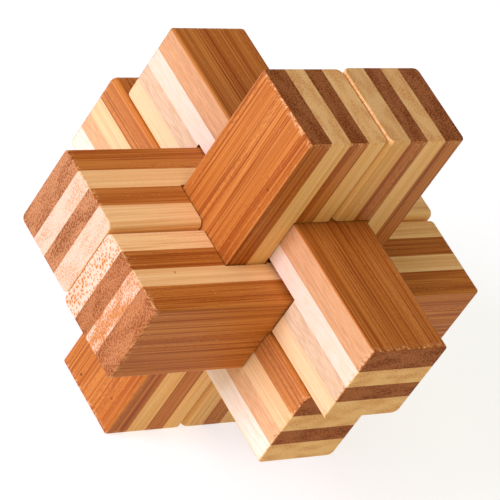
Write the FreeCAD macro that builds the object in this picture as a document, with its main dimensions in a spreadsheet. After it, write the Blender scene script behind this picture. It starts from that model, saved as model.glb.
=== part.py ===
import FreeCAD, Part
import os
import sys

import Sketcher
from FreeCAD import Placement, Rotation, Vector

# Six-piece burr puzzle in striped bamboo, millimetres, +Z up.
#
# Six square sticks lock together in three pairs at right angles: the left and right sticks stand
# upright, the back and front sticks run along X, and the top and key sticks run along Y. The origin
# is where the parting plane of the two upright sticks meets the surface that they stand on.
#
# Every stick is drawn in the same frame of its own: along X, with the pair's parting plane at Y = 0
# and the stick on the +Y side of it, centred on Z = 0. The puzzle looks the same from each of its
# three directions, so a third of a turn about the (1, 1, 1) diagonal carries one pair to the next,
# and half a turn about the stick's own Z carries one stick of a pair to the other.

# Driving dimensions. The notches lie on a grid of half a stick, and every face that meets another
# stick stands a fit gap back from its grid line.
SIZES = {
    "grid_step": 9.0,
    "fit_gap": 0.15,
    "stick_length": 77.0,
    # The arrises were eased by hand. The long ones next to the stick's partner are all alike, and the
    # outer ones differ, low and high being the stick's own -Z and +Z. Each stick has one crisp end,
    # and one that is rounder, except that the feet of the upright sticks are kept flat.
    "inner_round": 1.3,
    "key_low_round": 1.0,
    "key_high_round": 1.2,
    "top_low_round": 0.5,
    "top_high_round": 0.8,
    "left_low_round": 0.4,
    "left_high_round": 0.6,
    "right_low_round": 1.2,
    "right_high_round": 1.1,
    "back_low_round": 1.2,
    "back_high_round": 0.5,
    "front_low_round": 0.5,
    "front_high_round": 0.5,
    "crisp_end_round": 0.3,
    "soft_end_round": 0.9,
    "foot_round": 0.4,
    # How far each stick's ends lie off the middle of the puzzle, along its own axis.
    "key_push": 5.8,
    "top_push": 0.6,
    "back_push": -0.5,
    "front_push": -0.7,
    # The right stick is a little longer at its upper end, and the front stick was notched high,
    # so that it sits lower than the back stick.
    "right_extra": 0.3,
    "front_drop": 0.8,
    # Plies of each stick, from its outer face inwards. The innermost ply takes what is left. In the
    # notched sticks the first two plies together are thick enough to hold the notch's floor, which
    # lies a little way into the second, so that a notch always parts both inner plies.
    "key_ply_one": 4.9,
    "key_ply_two": 3.8,
    "key_ply_three": 4.1,
    "top_ply_one": 5.3,
    "top_ply_two": 4.1,
    "top_ply_three": 3.9,
    "left_ply_one": 4.8,
    "left_ply_two": 4.4,
    "left_ply_three": 4.1,
    "right_ply_one": 5.0,
    "right_ply_two": 4.2,
    "right_ply_three": 4.1,
    "back_ply_one": 5.1,
    "back_ply_two": 4.1,
    "back_ply_three": 4.0,
    "front_ply_one": 5.4,
    "front_ply_two": 3.8,
    "front_ply_three": 4.2,
}

# Sizes that follow from the driving ones.
DERIVED = {
    "inner_face": "fit_gap",
    "outer_face": "2 * grid_step + fit_gap",
    "side_face": "grid_step - fit_gap",
    # Faces of the notches. The long notches and the slots clear the outer faces of the pair they
    # hold, which stand a fit gap proud of their grid line.
    "notch_depth": "grid_step + fit_gap",
    "long_notch_end": "2 * grid_step + 3 * fit_gap",
    "slot_start": "grid_step - fit_gap",
    "stand_height": "stick_length / 2",
    # The middle of a slot, and how far a cut or a layer reaches past the stick.
    "slot_middle": "1.5 * grid_step",
    "past_end": "stick_length",
    "past_side": "2 * grid_step",
}

DIAGONAL = Vector(1, 1, 1)
TURN_OF_PAIR = {
    "x": Rotation(DIAGONAL, 0),
    "y": Rotation(DIAGONAL, 120),
    "z": Rotation(DIAGONAL, 240),
}
HALF_TURN = Rotation(Vector(0, 0, 1), 180)

# The pieces that a notched stick's inner plies fall into, by where they lie along the stick's own
# X: the name of each, and the two ends of its stretch.
WHOLE = (("", "-past_end", "past_end"),)
TWO_ENDS = (("low_end", "-past_end", "0"), ("high_end", "0", "past_end"))
ENDS_AND_MIDDLE = (
    ("low_end", "-past_end", "-slot_middle"),
    ("middle", "-slot_middle", "slot_middle"),
    ("high_end", "slot_middle", "past_end"),
)

# Each stick: the axis it lies along, whether it is the pair's turned one, its kind of notching, its
# push, extra length and drop, and the shades of its plies from the outer face inwards. A turned
# stick's own X points the other way, so its push changes sign.
DARK_OUTSIDE = ("dark", "light", "dark", "light")
LIGHT_OUTSIDE = ("light", "dark", "light", "dark")
STICKS = {
    "key": ("y", True, "plain", "-key_push", "0", "0", LIGHT_OUTSIDE),
    "top": ("y", False, "long_notch", "top_push", "0", "0", DARK_OUTSIDE),
    "left": ("z", True, "long_notch", "0", "0", "0", DARK_OUTSIDE),
    "right": ("z", False, "long_notch", "0", "right_extra", "0", DARK_OUTSIDE),
    "back": ("x", False, "slots", "back_push", "0", "0", DARK_OUTSIDE),
    "front": ("x", True, "slots", "-front_push", "0", "front_drop", DARK_OUTSIDE),
}
INNER_PIECES = {"plain": WHOLE, "long_notch": TWO_ENDS, "slots": ENDS_AND_MIDDLE}

# The rounder end of each stick: whether it is at the high end of its own X, and its radius.
ROUNDER_END = {
    "key": (False, "soft_end_round"),
    "top": (True, "soft_end_round"),
    "left": (True, "foot_round"),
    "right": (False, "foot_round"),
    "back": (True, "soft_end_round"),
    "front": (False, "soft_end_round"),
}

# An edge shorter than this along a direction lies square to it.
THIN = 0.01

# What the ends of a stick are called once it is in place, by its axis.
END_NAMES = {"x": ("left_end", "right_end"), "y": ("near_end", "far_end"), "z": ("lower_end", "upper_end")}


def in_sheet(expression):
    """The same expression with every size read from the sheet."""
    words = expression.replace("(", " ( ").replace(")", " ) ").replace("-", " - ").split()
    for place, word in enumerate(words):
        if word in DERIVED:
            words[place] = f"( {in_sheet(DERIVED[word])} )"
        elif word in SIZES:
            words[place] = "sizes." + word
    return " ".join(words)


def make_sheet(doc):
    sheet = doc.addObject("Spreadsheet::Sheet", "sizes")
    for row, (alias, value) in enumerate(SIZES.items(), start=1):
        sheet.set(f"A{row}", alias)
        sheet.set(f"B{row}", str(value))
        sheet.setAlias(f"B{row}", alias)
    doc.recompute()


def origin_plane(body, role):
    return next(item for item in body.Origin.OriginFeatures if item.Role == role)


def rectangle(body, name, plane, low, high):
    """Sketch of a rectangle on one of the body's planes, its corners at sheet-driven places."""
    sketch = body.newObject("Sketcher::SketchObject", name)
    sketch.AttachmentSupport = [(origin_plane(body, plane), "")]
    sketch.MapMode = "FlatFace"
    corners = [Vector(1, 1, 0), Vector(2, 1, 0), Vector(2, 2, 0), Vector(1, 2, 0)]
    for index, corner in enumerate(corners):
        sketch.addGeometry(Part.LineSegment(corner, corners[(index + 1) % 4]))
    for index in range(4):
        sketch.addConstraint(Sketcher.Constraint("Coincident", index, 2, (index + 1) % 4, 1))
        sketch.addConstraint(Sketcher.Constraint(("Horizontal", "Vertical")[index % 2], index))
    places = (
        ("low_across", "DistanceX", 0, low[0]),
        ("low_up", "DistanceY", 0, low[1]),
        ("high_across", "DistanceX", 2, high[0]),
        ("high_up", "DistanceY", 2, high[1]),
    )
    for label, kind, corner, expression in places:
        index = sketch.addConstraint(Sketcher.Constraint(kind, -1, 1, corner, 1, 1.0))
        sketch.renameConstraint(index, label)
        sketch.setExpression(f"Constraints.{label}", in_sheet(expression))
    return sketch


def cut_through(body, name, plane, low, high):
    """Notch sawn right through the stick, with the rectangle's section."""
    cut = body.newObject("PartDesign::Pocket", name)
    cut.Profile = rectangle(body, name + "_outline", plane, low, high)
    cut.Type = "ThroughAll"
    cut.SideType = "Symmetric"
    return cut


def edges_where(feature, test):
    return [f"Edge{n}" for n, edge in enumerate(feature.Shape.Edges, start=1) if test(edge)]


def ease(doc, body, base, name, radius, test):
    """Rounds the edges of the base feature that pass the test."""
    fillet = body.newObject("PartDesign::Fillet", name)
    fillet.Base = (base, edges_where(base, test))
    fillet.setExpression("Radius", "sizes." + radius)
    doc.recompute()
    return fillet


def ease_arrises(doc, body, bar, name):
    """Rounds a square bar's long arrises, then its two ends."""
    middle = bar.Shape.BoundBox.Center
    rounder_is_high, rounder_radius = ROUNDER_END[name]

    def is_long(edge, outer, high):
        box = edge.BoundBox
        at_arris = box.YLength < THIN and box.ZLength < THIN
        return at_arris and (box.Center.y > middle.y) == outer and (box.Center.z > middle.z) == high

    def is_end(edge, high):
        return edge.BoundBox.XLength < THIN and (edge.BoundBox.Center.x > middle.x) == high

    stages = (
        ("inner_low", "inner_round", lambda edge: is_long(edge, False, False)),
        ("inner_high", "inner_round", lambda edge: is_long(edge, False, True)),
        ("outer_low", name + "_low_round", lambda edge: is_long(edge, True, False)),
        ("outer_high", name + "_high_round", lambda edge: is_long(edge, True, True)),
        ("crisp_end", "crisp_end_round", lambda edge: is_end(edge, not rounder_is_high)),
        ("rounder_end", rounder_radius, lambda edge: is_end(edge, rounder_is_high)),
    )
    eased = bar
    for place, radius, test in stages:
        eased = ease(doc, body, eased, f"{name}_{place}", radius, test)
    return eased


def make_stick(doc, name, notching, push, extra, drop):
    """One stick as it leaves the saw, whole across its plies."""
    body = doc.addObject("PartDesign::Body", name + "_stick_blank")
    section = rectangle(
        body,
        name + "_section",
        "YZ_Plane",
        ("inner_face", f"-side_face - {drop}"),
        ("outer_face", f"side_face - {drop}"),
    )
    section.setExpression("AttachmentOffset.Base.z", in_sheet(f"{push} - stick_length / 2"))
    length = body.newObject("PartDesign::Pad", name + "_length")
    length.Profile = section
    length.setExpression("Length", in_sheet(f"stick_length + {extra}"))
    doc.recompute()

    body.Tip = ease_arrises(doc, body, length, name)

    if notching == "long_notch":
        body.Tip = cut_through(
            body,
            name + "_long_notch",
            "XY_Plane",
            ("-long_notch_end", "-past_side"),
            ("long_notch_end", "notch_depth"),
        )
    if notching == "slots":
        cut_through(
            body,
            name + "_low_slot",
            "XY_Plane",
            ("-long_notch_end", "-past_side"),
            ("-slot_start", "notch_depth"),
        )
        cut_through(
            body,
            name + "_high_slot",
            "XY_Plane",
            ("slot_start", "-past_side"),
            ("long_notch_end", "notch_depth"),
        )
        body.Tip = cut_through(
            body,
            name + "_key_groove",
            "XZ_Plane",
            ("-notch_depth", "-past_side"),
            ("notch_depth", "fit_gap"),
        )
    doc.recompute()
    return body


def make_layer(doc, name, low, high, start, end):
    """Box that holds one stretch of one ply: low to high across the plies, start to end along them."""
    box = doc.addObject("Part::Box", name)
    box.setExpression("Placement.Base.x", in_sheet(start))
    box.setExpression("Placement.Base.y", in_sheet(low))
    box.setExpression("Placement.Base.z", in_sheet("-past_side"))
    box.setExpression("Length", in_sheet(f"{end} - ({start})"))
    box.setExpression("Width", in_sheet(f"{high} - ({low})"))
    box.setExpression("Height", in_sheet("2 * past_side"))
    return box


def piece_name(stick, ply, shade, part, axis, turned):
    """Name of a ply, or of one block of it, as it lies in the puzzle."""
    words = [stick, "stick", "outer" if ply < 2 else "inner", shade, "ply"]
    if part == "middle":
        words.append(part)
    elif part:
        at_high_end = (part == "high_end") != turned
        words.append(END_NAMES[axis][at_high_end])
    return "_".join(words)


def make_pieces(doc, name, stick, blank):
    """The plies of one stick, each cut from the blank by its layer and put in its place."""
    axis, turned, notching, _, _, _, shades = stick
    turn = TURN_OF_PAIR[axis] * HALF_TURN if turned else TURN_OF_PAIR[axis]
    faces = ["outer_face"]
    for ply in ("one", "two", "three"):
        faces.append(f"{faces[-1]} - {name}_ply_{ply}")
    faces.append("inner_face")
    pieces = []
    for ply, shade in enumerate(shades):
        parts = WHOLE if ply < 2 else INNER_PIECES[notching]
        for part, start, end in parts:
            label = piece_name(name, ply, shade, part, axis, turned)
            piece = doc.addObject("Part::Common", label)
            piece.Label = label
            piece.Base = blank
            piece.Tool = make_layer(doc, label + "_layer", faces[ply + 1], faces[ply], start, end)
            piece.Placement = Placement(Vector(0, 0, 0), turn)
            piece.setExpression("Placement.Base.z", in_sheet("stand_height"))
            pieces.append(piece)
    return pieces


def check(doc, pieces):
    failed = [item.Label for item in doc.Objects if {"Invalid", "Error"} & set(item.State)]
    for piece in pieces:
        sound = not piece.Shape.isNull() and piece.Shape.isValid()
        if not sound or len(piece.Shape.Solids) != 1:
            failed.append(piece.Label)
    if failed:
        sys.exit("failed: " + ", ".join(failed))


doc = FreeCAD.newDocument("burr_puzzle")
make_sheet(doc)
all_pieces = []
for stick_name, stick in STICKS.items():
    notching, push, extra, drop = stick[2:6]
    blank = make_stick(doc, stick_name, notching, push, extra, drop)
    all_pieces += make_pieces(doc, stick_name, stick, blank)
doc.recompute()
check(doc, all_pieces)

os.makedirs("parts", exist_ok=True)
for piece in all_pieces:
    piece.Shape.exportStep(f"parts/{piece.Label}.step")
    box = piece.Shape.BoundBox
    print(f"{piece.Label}: {piece.Shape.Volume:.0f} mm3, Z {box.ZMin:.2f} to {box.ZMax:.2f}")
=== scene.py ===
import math
import random

import bpy
from mathutils import Matrix, Vector


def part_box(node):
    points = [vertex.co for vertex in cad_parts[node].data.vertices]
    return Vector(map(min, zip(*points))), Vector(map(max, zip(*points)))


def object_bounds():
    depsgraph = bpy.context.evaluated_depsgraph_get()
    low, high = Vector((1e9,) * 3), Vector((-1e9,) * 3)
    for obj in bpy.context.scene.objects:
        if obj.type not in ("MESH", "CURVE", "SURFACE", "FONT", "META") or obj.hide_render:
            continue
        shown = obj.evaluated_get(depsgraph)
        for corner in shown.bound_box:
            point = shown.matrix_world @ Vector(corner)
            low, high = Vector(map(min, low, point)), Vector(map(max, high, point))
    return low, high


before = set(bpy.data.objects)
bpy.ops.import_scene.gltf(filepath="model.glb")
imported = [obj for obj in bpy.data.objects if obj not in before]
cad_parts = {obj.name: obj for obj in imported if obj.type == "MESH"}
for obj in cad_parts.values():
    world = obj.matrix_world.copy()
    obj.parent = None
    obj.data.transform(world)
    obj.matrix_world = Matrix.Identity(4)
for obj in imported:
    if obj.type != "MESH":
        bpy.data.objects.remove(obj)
cad_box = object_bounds()

# A millimetre in metres, the seed of the random draws, and the middle of the burr, where the sticks cross.
MM = 0.001
SEED = 6
BURR_CENTRE = Vector((0.0, 0.0, 0.0385))
# The coordinate that each stick lies along: 0 is X, 1 is Y, 2 is Z. Its plies are stacked along the next
# coordinate, and they are as wide as the stick along the one after that.
STICK_AXIS = {"left": 2, "right": 2, "back": 0, "front": 0, "top": 1, "key": 1}


# ---------------------------------------------------------------- how the bamboo looks

# Linear colours of each kind of bamboo. Dark is carbonised, light is natural. The first six are for the
# long grain and its wear, ground and bundle for the sawn ends, and side for the painted sheen on a stick's
# narrow sides.
SHADES = {
    "dark": {
        "base": (0.46, 0.140, 0.018),
        "pale": (0.56, 0.205, 0.038),
        "streak": (0.35, 0.078, 0.006),
        "line": (0.24, 0.043, 0.004),
        "fleck": (0.80, 0.450, 0.200),
        "speck": (0.07, 0.020, 0.008),
        "ground": (0.46, 0.195, 0.072),
        "bundle": (0.20, 0.052, 0.009),
        "side": (0.70, 0.400, 0.185),
    },
    "light": {
        "base": (0.80, 0.435, 0.128),
        "pale": (0.87, 0.530, 0.200),
        "streak": (0.72, 0.335, 0.075),
        "line": (0.60, 0.245, 0.046),
        "fleck": (0.92, 0.670, 0.380),
        "speck": (0.25, 0.090, 0.030),
        # Only the back and front sticks keep this ground on their ends, which face X: its blue is painted
        # sheen.
        "ground": (0.72, 0.500, 0.315),
        "bundle": (0.53, 0.165, 0.022),
        "side": (0.74, 0.580, 0.405),
    },
}

# What is drawn at random for each ply, between these two values and in this order: how far its pattern is
# shifted in millimetres, how much the fibres lean, how strong its streaks and lines are, how close and how
# strong the fibre bundles on its ends are, and how bright it is.
DRAWN = {
    "dark": {
        "shift": (20.0, 200.0),
        "lean": (-0.012, 0.012),
        "streaks": (0.60, 0.85),
        "lines": (0.55, 0.75),
        "bundles_per_mm": (1.9, 2.3),
        "bundle_weight": (0.65, 0.80),
        "value": (0.96, 1.05),
    },
    "light": {
        "shift": (20.0, 200.0),
        "lean": (-0.012, 0.012),
        "streaks": (0.35, 0.65),
        "lines": (0.25, 0.50),
        "bundles_per_mm": (1.9, 2.3),
        "bundle_weight": (0.25, 0.50),
        "value": (0.96, 1.05),
    },
}

# What every ply of a shade has: how much loose fibre is round its ends, how large the fibre bundles are and
# how dark the ground is where they crowd, and how strong and bright the long grain's colours are.
SHADE_LOOKS = {
    "dark": {"wear": 0.65, "bundle_size": 0.30, "crowding": 0.30, "saturation": 1.0, "brightness": 1.0},
    "light": {"wear": 0.35, "bundle_size": 0.24, "crowding": 0.12, "saturation": 1.0, "brightness": 1.0},
}

# How a stick's light plies differ: yellower ends on four sticks, and paler long grain on the other two.
# Those two, whose ends face X, keep the bluer ground of SHADES: painted sheen of the key lamp.
YELLOW_ENDS = {"ground": (0.80, 0.485, 0.185), "crowding": 0.30}
PALE_GRAIN = {"saturation": 0.92, "brightness": 1.05}
LIGHT_PLIES = {
    "left": YELLOW_ENDS,
    "right": YELLOW_ENDS,
    "back": PALE_GRAIN,
    "front": PALE_GRAIN,
    "top": YELLOW_ENDS,
    "key": YELLOW_ENDS,
}

# Hue, saturation and value of a stick's end grain. The values darken the ends of the sticks along Z and Y
# against those along X: painted shade, standing for the sheen that the key lamp gives the ends facing X.
END_TINTS_AND_SHADE = {
    "left": {"dark": (0.492, 1.08, 0.62), "light": (0.5, 1.0, 0.90)},
    "right": {"dark": (0.492, 1.06, 0.68), "light": (0.5, 1.0, 0.88)},
    "back": {"dark": (0.500, 1.00, 1.05), "light": (0.5, 1.0, 1.00)},
    "front": {"dark": (0.496, 1.04, 1.00), "light": (0.5, 1.0, 1.00)},
    "top": {"dark": (0.492, 1.08, 0.85), "light": (0.5, 1.0, 1.00)},
    "key": {"dark": (0.492, 1.08, 0.80), "light": (0.5, 1.0, 1.00)},
}

# How strong the painted sheen is on the narrow sides, which face X. The other sticks have none.
SIDE_SHEEN = {"top": 0.75, "key": 0.9}

# Plies that stand out from the rest of their stick: two on the front stick have strong fibre bundles, and
# those of the top and key sticks have more painted sheen or less, some of it in a colour of its own.
PLY_LOOKS = {
    "front_stick_inner_light_ply": {"bundles_per_mm": 1.35, "bundle_weight": 1.0, "bundle_size": 0.27},
    "front_stick_outer_light_ply": {"bundle_weight": 0.9, "bundle_size": 0.34, "crowding": 0.7},
    "top_stick_outer_light_ply": {"side_sheen": 1.0},
    "top_stick_inner_dark_ply": {"side_sheen": 1.0, "side": (0.69, 0.48, 0.27)},
    "top_stick_inner_light_ply": {"side_sheen": 0.4},
    "key_stick_outer_light_ply": {"side_sheen": 1.0, "side": (0.80, 0.665, 0.490)},
    "key_stick_inner_light_ply": {"side_sheen": 0.3},
    "key_stick_inner_dark_ply": {"side_sheen": 0.1},
}

# Noises: how many waves they have in a millimetre, along the fibres and across them, then their detail and
# their roughness.
NOISES = {
    "wander": (0.012, 0.06, 1.0, 0.50),
    "bands": (0.006, 0.28, 1.0, 0.50),
    "streaks": (0.007, 1.35, 2.0, 0.62),
    "lines": (0.010, 3.10, 1.0, 0.55),
    "hairs": (0.026, 6.00, 1.0, 0.60),
    "dashes": (1.300, 5.00, 0.0, 0.50),
    "dash_zones": (0.012, 0.55, 0.0, 0.50),
    # The next noise breaks the painted sheen on the narrow sides into streaks.
    "sheen_streaks": (0.350, 4.20, 1.0, 0.60),
    "ragged": (1.200, 1.80, 3.0, 0.75),
}

# Marks of the long grain, in the order that they are laid on: the noise that they follow, its value where
# they start and where they are full, their colour, their weight, and what the ply multiplies that by.
GRAIN_MARKS = (
    ("bands", (0.58, 0.40), "pale", 0.6, None),
    ("streaks", (0.47, 0.34), "pale", 0.7, None),
    ("streaks", (0.52, 0.62), "streak", 1.0, "streaks"),
    ("lines", (0.54, 0.64), "line", 1.0, "lines"),
    ("lines", (0.46, 0.36), "pale", 0.7, "lines"),
    ("hairs", (0.52, 0.68), "line", 0.6, "lines"),
)

# Short dark dashes, in some zones only.
DASH = {"dashes": (0.52, 0.66), "zones": (0.44, 0.62), "weight": 0.5}

# Loose pale fibres and dark dots lie in cells of a Voronoi pattern. A cell has one if its random number is
# above the picks. It is gone at the first distance from the cell's middle and full at the second, counted
# in cells.
FLECK = {"along": 0.7, "across": 3.0, "picks": (0.90, 0.94), "distances": (0.30, 0.12), "weight": 0.28}
SPECK = {"per_mm": 0.22, "picks": (0.60, 0.62), "distances": (0.085, 0.035), "weight": 0.85}

# How far the fibres wander, in millimetres, and the part of a ply's shift that goes across its width.
WANDER = 1.6
WIDTH_SHIFT = 0.37

# Where a surface counts as a narrow side, a sawn end or an arris, by the size of its normal's coordinates:
# for an arris it is the product of two. The first number is where that starts and the second where it is
# full.
NARROW_SIDE = (0.80, 0.98)
SAWN_END = (0.72, 0.88)
ARRIS = (0.08, 0.45)

# The painted sheen on the narrow sides is stronger in streaks, where its streak noise is high. Its
# weight is the least between the streaks, and they add more.
SIDE_SHEEN_WEIGHTS = {"sheen_streaks": (0.40, 0.60), "least": 0.72, "more": 0.28}

# Worn arrises are pale where the streaks' noise is low. Round a stick's ends, its fibres are loose where
# the ragged noise is high and crushed where it is low. That starts at the first of two distances from the
# end and is full at the second.
RUBBED = {"streaks": (0.62, 0.42), "weight": 0.45}
END_WEAR_MM = (1.3, 0.2)
LOOSE = (0.48, 0.62)
CRUSHED = {"ragged": (0.48, 0.38), "weight": 0.55}

# The fibre bundles on the sawn ends are dots in the cells of a Voronoi pattern, which a slow noise bends:
# so many millimetres across the stack, and a part of that across the width. A dot has a soft edge and a
# tone of its own. A second noise says where they crowd, and are larger and stronger.
END_BEND = {"per_mm": 0.5, "stack_mm": 1.5, "width_part": 0.7}
CELL_RANDOMNESS = 0.75
DOT_EDGE = (0.09, -0.11)
DOT_TONE = {"least": 0.55, "more": 0.45}
CROWD_NOISE = {"stack_per_mm": 0.42, "width_per_mm": 0.16, "slice": 3.0, "span": (0.36, 0.66)}
CROWD = {"size": 0.12, "weight": 0.25}

# The surface: how rough it is at least and what streaks and sawn ends add, and what its relief is made of.
# That is the streaks and the fine pattern of lines and hairs, and on the ends the bundles, a little lower
# than the rest. The bump's distance is in metres.
ROUGHNESS = {"least": 0.42, "streaks": 0.2, "ends": 0.25}
FINE = {"lines": 0.6, "hairs": 0.4}
RELIEF = {"streaks": 0.6, "fine": 0.4, "ends": 0.6, "bundles": -0.35}
BUMP = {"Strength": 0.6, "Distance": 0.00012}
SPECULAR = 0.14


# ---------------------------------------------------------------- node helpers

class Nodes:
    """A short way to write a material's node tree. A value is a number or another node's output."""

    def __init__(self, name):
        self.material = bpy.data.materials.new(name)
        self.material.use_nodes = True
        self.tree = self.material.node_tree
        self.tree.nodes.clear()

    def add(self, kind, inputs=None, **settings):
        node = self.tree.nodes.new(kind)
        for key, value in settings.items():
            setattr(node, key, value)
        for key, value in (inputs or {}).items():
            self.put(value, node.inputs[key])
        return node

    def put(self, value, socket):
        if isinstance(value, bpy.types.NodeSocket):
            self.tree.links.new(value, socket)
        elif socket.type == "RGBA" and len(value) == 3:
            socket.default_value = (*value, 1.0)
        else:
            socket.default_value = value

    def math(self, operation, a, b=0.0, c=0.0):
        return self.add("ShaderNodeMath", {0: a, 1: b, 2: c}, operation=operation).outputs[0]

    def times(self, a, b):
        return self.math("MULTIPLY", a, b)

    def plus(self, a, b):
        return self.math("ADD", a, b)

    def minus(self, a, b):
        return self.math("SUBTRACT", a, b)

    def absolute(self, a):
        return self.math("ABSOLUTE", a)

    def vector(self, x, y, z):
        return self.add("ShaderNodeCombineXYZ", {0: x, 1: y, 2: z}).outputs[0]

    def stretched(self, place, lengthways, crossways):
        """The place along a stick, across its stack and across its width, scaled for a pattern."""
        along, stack, width = place
        return self.vector(
            self.times(along, lengthways), self.times(stack, crossways), self.times(width, crossways),
        )

    def noise(self, vector, detail=1.0, roughness=0.5):
        inputs = {"Vector": vector, "Scale": 1.0, "Detail": detail, "Roughness": roughness}
        return self.add("ShaderNodeTexNoise", inputs).outputs["Fac"]

    def fibres(self, name, place):
        """One of the noises listed in NOISES."""
        lengthways, crossways, detail, roughness = NOISES[name]
        return self.noise(self.stretched(place, lengthways, crossways), detail, roughness)

    def cells(self, vector, scale, randomness=1.0, dimensions="3D"):
        """Distance from the middle of a Voronoi cell, and two random numbers of that cell."""
        inputs = {"Vector": vector, "Scale": scale, "Randomness": randomness}
        node = self.add("ShaderNodeTexVoronoi", inputs, voronoi_dimensions=dimensions)
        numbers = self.add("ShaderNodeSeparateColor", {0: node.outputs["Color"]})
        return node.outputs["Distance"], numbers.outputs[0], numbers.outputs[1]

    def step(self, value, span):
        """0 where the value is at the span's first number, 1 where it is at its second, smooth between."""
        inputs = {"Value": value, "From Min": span[0], "From Max": span[1]}
        return self.add("ShaderNodeMapRange", inputs, interpolation_type="SMOOTHSTEP").outputs["Result"]

    def mix(self, factor, a, b):
        node = self.add("ShaderNodeMix", data_type="RGBA")
        sockets = {socket.identifier: socket for socket in node.inputs}
        self.put(factor, sockets["Factor_Float"])
        self.put(a, sockets["A_Color"])
        self.put(b, sockets["B_Color"])
        return next(socket for socket in node.outputs if socket.identifier == "Result_Color")

    def tinted(self, color, hue=0.5, saturation=1.0, value=1.0):
        inputs = {"Hue": hue, "Saturation": saturation, "Value": value, "Color": color}
        return self.add("ShaderNodeHueSaturation", inputs).outputs[0]

    def surface(self, **inputs):
        """The shader, and the end of the tree. An input's name has _ where the socket's has a space."""
        sockets = {name.replace("_", " "): value for name, value in inputs.items()}
        shader = self.add("ShaderNodeBsdfPrincipled", sockets)
        self.add("ShaderNodeOutputMaterial", {"Surface": shader.outputs[0]})
        return self.material


# ---------------------------------------------------------------- bamboo

def bamboo(name, shade, axis, ply):
    """Laminated bamboo with its fibres along one axis. ply says where it lies and how it differs."""
    n = Nodes(name)
    colors = SHADES[shade]
    stack_axis, width_axis = (axis + 1) % 3, (axis + 2) % 3
    coordinates = n.add("ShaderNodeTexCoord")
    metres = coordinates.outputs["Object"]
    scaled = n.add("ShaderNodeVectorMath", {0: metres, 1: (1 / MM,) * 3}, operation="MULTIPLY").outputs[0]
    millimetres = n.add("ShaderNodeSeparateXYZ", {0: scaled}).outputs
    along = millimetres[axis]
    stack = n.plus(millimetres[stack_axis], ply["shift"])
    width = n.plus(millimetres[width_axis], ply["shift"] * WIDTH_SHIFT)
    place = (along, stack, width)
    normal = n.add("ShaderNodeSeparateXYZ", {0: coordinates.outputs["Normal"]}).outputs
    width_normal = n.absolute(normal[width_axis])
    stack_normal = n.absolute(normal[stack_axis])

    color, streaks, fine = long_grain(n, colors, place, ply)
    # Painted sheen on the narrow sides.
    color = painted_side_sheen(n, color, place, width_normal, ply)
    rubbed = n.times(n.step(n.times(stack_normal, width_normal), ARRIS), n.step(streaks, RUBBED["streaks"]))
    color = n.mix(n.times(rubbed, RUBBED["weight"]), color, colors["pale"])
    color = worn_ends(n, color, colors, place, ply)
    color = n.tinted(color, saturation=ply["saturation"], value=ply["brightness"])

    end_color, bundles = end_grain(n, colors, stack, width, ply)
    is_end = n.step(n.absolute(normal[axis]), SAWN_END)
    # The end tint holds painted shade on the ends that don't face X.
    color = n.mix(is_end, color, n.tinted(end_color, *ply["end_tint"]))
    color = n.tinted(color, value=ply["value"])

    long_roughness = n.plus(ROUGHNESS["least"], n.times(streaks, ROUGHNESS["streaks"]))
    roughness = n.plus(long_roughness, n.times(is_end, ROUGHNESS["ends"]))
    long_height = n.plus(n.times(streaks, RELIEF["streaks"]), n.times(fine, RELIEF["fine"]))
    end_height = n.plus(RELIEF["ends"], n.times(bundles, RELIEF["bundles"]))
    height = n.mix(is_end, long_height, end_height)
    bump = n.add("ShaderNodeBump", {"Height": height, **BUMP}).outputs[0]
    return n.surface(Base_Color=color, Roughness=roughness, Normal=bump, Specular_IOR_Level=SPECULAR)


def long_grain(n, colors, place, ply):
    """Colour along the fibres, and the coarse and fine patterns that it was made from."""
    # The fibres wander a little, and lean a little to the stick.
    along, stack, width = place
    wander = n.times(n.minus(n.fibres("wander", place), 0.5), WANDER)
    bent = (along, n.plus(stack, wander), n.plus(width, n.plus(wander, n.times(along, ply["lean"]))))
    patterns = {name: n.fibres(name, bent) for name in ("bands", "streaks", "lines", "hairs")}

    color = colors["base"]
    for name, span, color_name, weight, ply_weight in GRAIN_MARKS:
        if ply_weight:
            weight *= ply[ply_weight]
        color = n.mix(n.times(n.step(patterns[name], span), weight), color, colors[color_name])

    dashes = n.step(n.fibres("dashes", bent), DASH["dashes"])
    hatch = n.times(dashes, n.step(n.fibres("dash_zones", bent), DASH["zones"]))
    color = n.mix(n.times(hatch, ply["lines"] * DASH["weight"]), color, colors["line"])

    distance, pick, _ = n.cells(n.stretched(bent, FLECK["along"], FLECK["across"]), 1.0)
    color = scattered(n, color, distance, pick, FLECK, colors["fleck"])
    distance, _, pick = n.cells(n.vector(*place), SPECK["per_mm"])
    color = scattered(n, color, distance, pick, SPECK, colors["speck"])

    fine = n.plus(n.times(patterns["lines"], FINE["lines"]), n.times(patterns["hairs"], FINE["hairs"]))
    return color, patterns["streaks"], fine


def scattered(n, color, distance, pick, kind, mark_color):
    """Adds small marks in the cells that are picked."""
    marks = n.times(n.step(pick, kind["picks"]), n.step(distance, kind["distances"]))
    return n.mix(n.times(marks, kind["weight"]), color, mark_color)


def painted_side_sheen(n, color, place, width_normal, ply):
    """Adds painted sheen on the narrow sides, in short pale streaks."""
    sheen_streaks = n.step(n.fibres("sheen_streaks", place), SIDE_SHEEN_WEIGHTS["sheen_streaks"])
    side = n.times(n.step(width_normal, NARROW_SIDE), n.plus(SIDE_SHEEN_WEIGHTS["least"], n.times(sheen_streaks, SIDE_SHEEN_WEIGHTS["more"])))
    return n.mix(n.times(side, ply["side_sheen"]), color, ply["side"])


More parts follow.
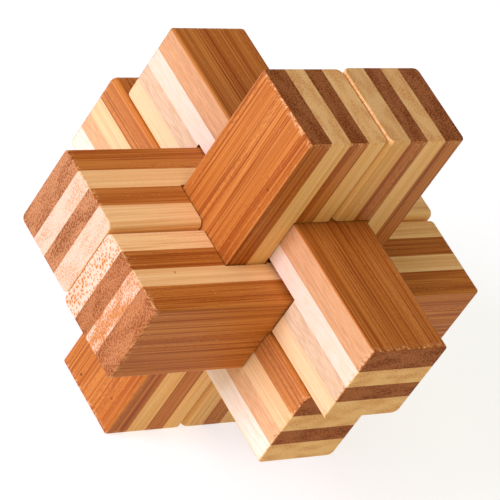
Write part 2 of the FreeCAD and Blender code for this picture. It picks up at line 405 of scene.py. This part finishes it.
def worn_ends(n, color, colors, place, ply):
    """Adds loose and crushed fibres round the stick's ends."""
    from_middle = n.absolute(n.minus(place[0], ply["middle"]))
    near_end = n.step(from_middle, [ply["half"] - distance for distance in END_WEAR_MM])
    ragged = n.fibres("ragged", place)
    loose = n.times(near_end, n.step(ragged, LOOSE))
    color = n.mix(n.times(loose, ply["wear"]), color, colors["fleck"])
    crushed = n.times(near_end, n.step(ragged, CRUSHED["ragged"]))
    return n.mix(n.times(crushed, CRUSHED["weight"]), color, colors["line"])


def end_grain(n, colors, stack, width, ply):
    """Colour of the sawn end, and its pattern of dark fibre bundles in a pale ground."""
    slow = n.noise(n.vector(n.times(stack, END_BEND["per_mm"]), n.times(width, END_BEND["per_mm"]), 0.0))
    bend = n.times(n.minus(slow, 0.5), END_BEND["stack_mm"])
    bent = n.vector(n.plus(stack, bend), n.plus(width, n.times(bend, END_BEND["width_part"])), 0.0)
    distance, _, tone = n.cells(bent, ply["bundles_per_mm"], CELL_RANDOMNESS, "2D")
    crowd_stack = n.times(stack, CROWD_NOISE["stack_per_mm"])
    crowd_width = n.times(width, CROWD_NOISE["width_per_mm"])
    crowd = n.noise(n.vector(crowd_stack, crowd_width, CROWD_NOISE["slice"]))
    crowded = n.step(crowd, CROWD_NOISE["span"])
    size = n.plus(ply["bundle_size"], n.times(crowded, CROWD["size"]))
    bundles = n.step(n.minus(distance, size), DOT_EDGE)
    tone_weight = n.plus(DOT_TONE["least"], n.times(tone, DOT_TONE["more"]))
    strength = n.times(tone_weight, n.plus(ply["bundle_weight"], n.times(crowded, CROWD["weight"])))
    ground = n.mix(n.times(crowded, ply["crowding"]), ply["ground"], colors["bundle"])
    return n.mix(n.times(bundles, strength), ground, colors["bundle"]), bundles


def stick_ends(stick):
    """Lowest and highest place of a stick along its own axis."""
    axis = STICK_AXIS[stick]
    boxes = [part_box(name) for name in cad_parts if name.startswith(stick + "_stick_")]
    return min(box[0][axis] for box in boxes), max(box[1][axis] for box in boxes)


def ply_look(stick, ply, shade, rng):
    """Where one ply lies along its stick, in millimetres, and what makes it differ from the others."""
    lowest, highest = stick_ends(stick)
    look = {setting: rng.uniform(*limits) for setting, limits in DRAWN[shade].items()}
    look["middle"] = (lowest + highest) / 2 / MM
    look["half"] = (highest - lowest) / 2 / MM
    # The light ground of SHADES stays on the ends that face X, as painted sheen.
    look["ground"] = SHADES[shade]["ground"]
    # The side colour and its weight are painted sheen on the narrow sides.
    look["side"] = SHADES[shade]["side"]
    look["side_sheen"] = SIDE_SHEEN.get(stick, 0.0)
    # The end tint darkens the ends that don't face X: painted shade.
    look["end_tint"] = END_TINTS_AND_SHADE[stick][shade]
    look.update(SHADE_LOOKS[shade])
    if shade == "light":
        look.update(LIGHT_PLIES[stick])
    look.update(PLY_LOOKS.get(ply, {}))
    return look


def finish_plies():
    """Gives the pieces of each ply one bamboo, on their own CAD objects."""
    rng = random.Random(SEED)
    materials = {}
    for node_name, node in sorted(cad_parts.items()):
        stick = node_name.split("_")[0]
        ply = node_name[:node_name.index("_ply") + len("_ply")]
        if ply not in materials:
            shade = "dark" if "_dark_" in ply else "light"
            look = ply_look(stick, ply, shade, rng)
            materials[ply] = bamboo(f"bamboo_{ply}", shade, STICK_AXIS[stick], look)
        node.material_slots[0].material = materials[ply]


# ---------------------------------------------------------------- floor, light and camera

# Half the floor's width, in metres, and its paper: two greys in a fine noise, partly lit by itself.
FLOOR_HALF = 3.0
PAPER_GREYS = (0.48, 0.48, 0.48), (0.52, 0.52, 0.52)
PAPER_WAVES_PER_METRE = 40.0
PAPER_ROUGHNESS = 0.9
PAPER_GLOW = 0.65

# Name, direction from the burr, distance and width in metres, power in watts, and colour.
LIGHTS = (
    ("key_light", (-1.0, 0.12, 0.40), 1.2, 0.6, 13.0, (1.0, 0.98, 1.45)),
    ("top_light", (-0.15, 0.30, 1.0), 1.5, 1.2, 4.6, (1.0, 1.0, 0.95)),
    ("front_light", (-0.5, -0.8, 0.9), 1.5, 0.5, 4.6, (1.0, 0.84, 0.40)),
)
SKY_COLOR = (1.0, 0.97, 0.86, 1.0)
SKY_STRENGTH = 0.25

# The camera's angles in degrees: which way it looks, from X towards Y, how far down, and how it is turned
# about its line of sight. Then its distance and the point it looks at, from the burr's centre, in metres,
# and the width of its film and its lens in millimetres.
CAMERA_HEADING = 36.114
CAMERA_DOWN = 35.295
CAMERA_ROLL = -35.668
CAMERA_DISTANCE = 0.5946
CAMERA_AIM = Vector((-0.00118, 0.0012, -0.00034))
FILM_WIDTH = 36.0
LENS = 239.05


def plain_floor():
    """A large sheet of pale paper under the lowest point of the CAD."""
    mesh = bpy.data.meshes.new("floor")
    lowest = cad_box[0][2]
    signs = ((-1, -1), (1, -1), (1, 1), (-1, 1))
    corners = [(x * FLOOR_HALF, y * FLOOR_HALF, lowest) for x, y in signs]
    mesh.from_pydata(corners, [], [(0, 1, 2, 3)])
    floor = bpy.data.objects.new("floor", mesh)
    bpy.context.collection.objects.link(floor)
    n = Nodes("floor_paper")
    position = n.add("ShaderNodeTexCoord").outputs["Object"]
    grain = n.add("ShaderNodeTexNoise", {"Vector": position, "Scale": PAPER_WAVES_PER_METRE}).outputs["Fac"]
    mesh.materials.append(n.surface(
        Base_Color=n.mix(grain, *PAPER_GREYS), Roughness=PAPER_ROUGHNESS,
        Emission_Color=(1.0, 1.0, 1.0), Emission_Strength=PAPER_GLOW,
    ))


def soft_light(name, direction, distance, width, power, color):
    """A round lamp that shines at the burr's centre."""
    data = bpy.data.lights.new(name, "AREA")
    data.shape = "DISK"
    data.size = width
    data.energy = power
    data.color = color
    light = bpy.data.objects.new(name, data)
    bpy.context.collection.objects.link(light)
    towards = Vector(direction).normalized()
    light.location = BURR_CENTRE + towards * distance
    light.rotation_euler = (-towards).to_track_quat("-Z", "Y").to_euler()


def studio():
    """The lamps, and a weak light from all round."""
    for settings in LIGHTS:
        soft_light(*settings)
    world = bpy.data.worlds.new("studio")
    bpy.context.scene.world = world
    world.use_nodes = True
    background = world.node_tree.nodes["Background"]
    background.inputs["Color"].default_value = SKY_COLOR
    background.inputs["Strength"].default_value = SKY_STRENGTH
    bpy.context.scene.view_settings.view_transform = "Standard"


def camera():
    """A long lens above the near left corner, turned about its own line of sight."""
    heading, down, roll = (math.radians(angle) for angle in (CAMERA_HEADING, CAMERA_DOWN, CAMERA_ROLL))
    level = math.cos(down)
    forward = Vector((math.cos(heading) * level, math.sin(heading) * level, -math.sin(down)))
    level_right = forward.cross(Vector((0, 0, 1))).normalized()
    level_up = level_right.cross(forward)
    up = level_up * math.cos(roll) + level_right * math.sin(roll)
    right = forward.cross(up)
    data = bpy.data.cameras.new("camera")
    data.sensor_width = FILM_WIDTH
    data.lens = LENS
    view = bpy.data.objects.new("camera", data)
    bpy.context.collection.objects.link(view)
    turn = Matrix((right, up, -forward)).transposed()
    place = BURR_CENTRE + CAMERA_AIM - forward * CAMERA_DISTANCE
    view.matrix_world = Matrix.Translation(place) @ turn.to_4x4()
    bpy.context.scene.camera = view


finish_plies()
plain_floor()
studio()
camera()
